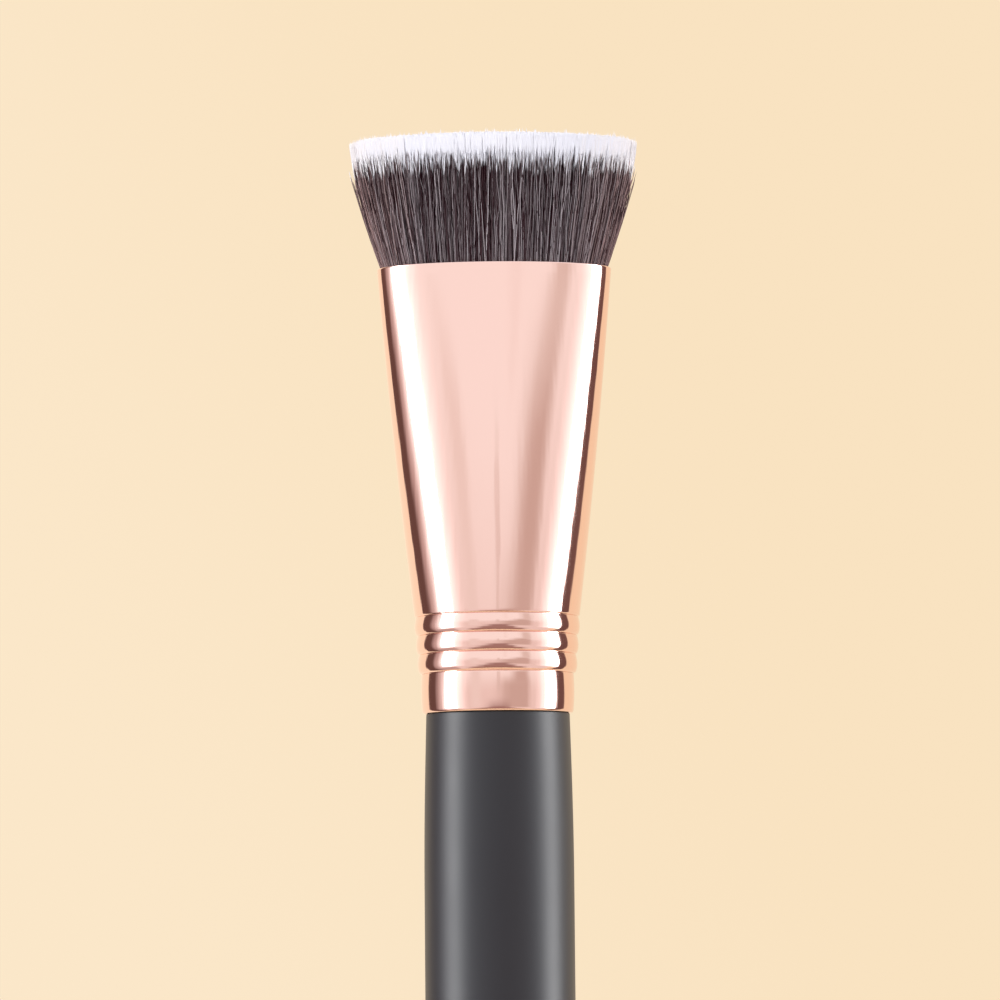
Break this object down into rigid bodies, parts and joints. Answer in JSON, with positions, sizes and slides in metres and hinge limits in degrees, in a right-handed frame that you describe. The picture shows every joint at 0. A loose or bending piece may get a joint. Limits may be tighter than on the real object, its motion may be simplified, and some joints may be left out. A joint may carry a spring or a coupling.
{
  "type": "contour brush",
  "caption": "Flat-topped contour makeup brush: a dense elliptical tuft with white tips, potted in a flattened polished metal ferrule on a turned matt handle.",
  "frame": {"origin": "centre of the small flat at the tail end of the handle", "axes": "+Z along the handle towards the tuft, X along the wide side of the tuft, -Y towards the front"},
  "size_m": [0.0284, 0.0166, 0.168],
  "materials": {
    "handle_lacquer": "turned hardwood under a soft-touch matt black lacquer",
    "tenon_glue": "set glue",
    "ferrule_metal": "polished, plated a pink copper colour",
    "potting_epoxy": "cast epoxy",
    "binding_thread": "plain thread",
    "bristle_fibre": "fine dark brown filaments with white tips"
  },
  "bodies": {
    "root": {"handle": "handle_lacquer", "tenon_glue": "tenon_glue", "ferrule": "ferrule_metal", "root_potting": "potting_epoxy", "root_binding": "binding_thread", "bristles": "bristle_fibre"}
  },
  "joints": []
}
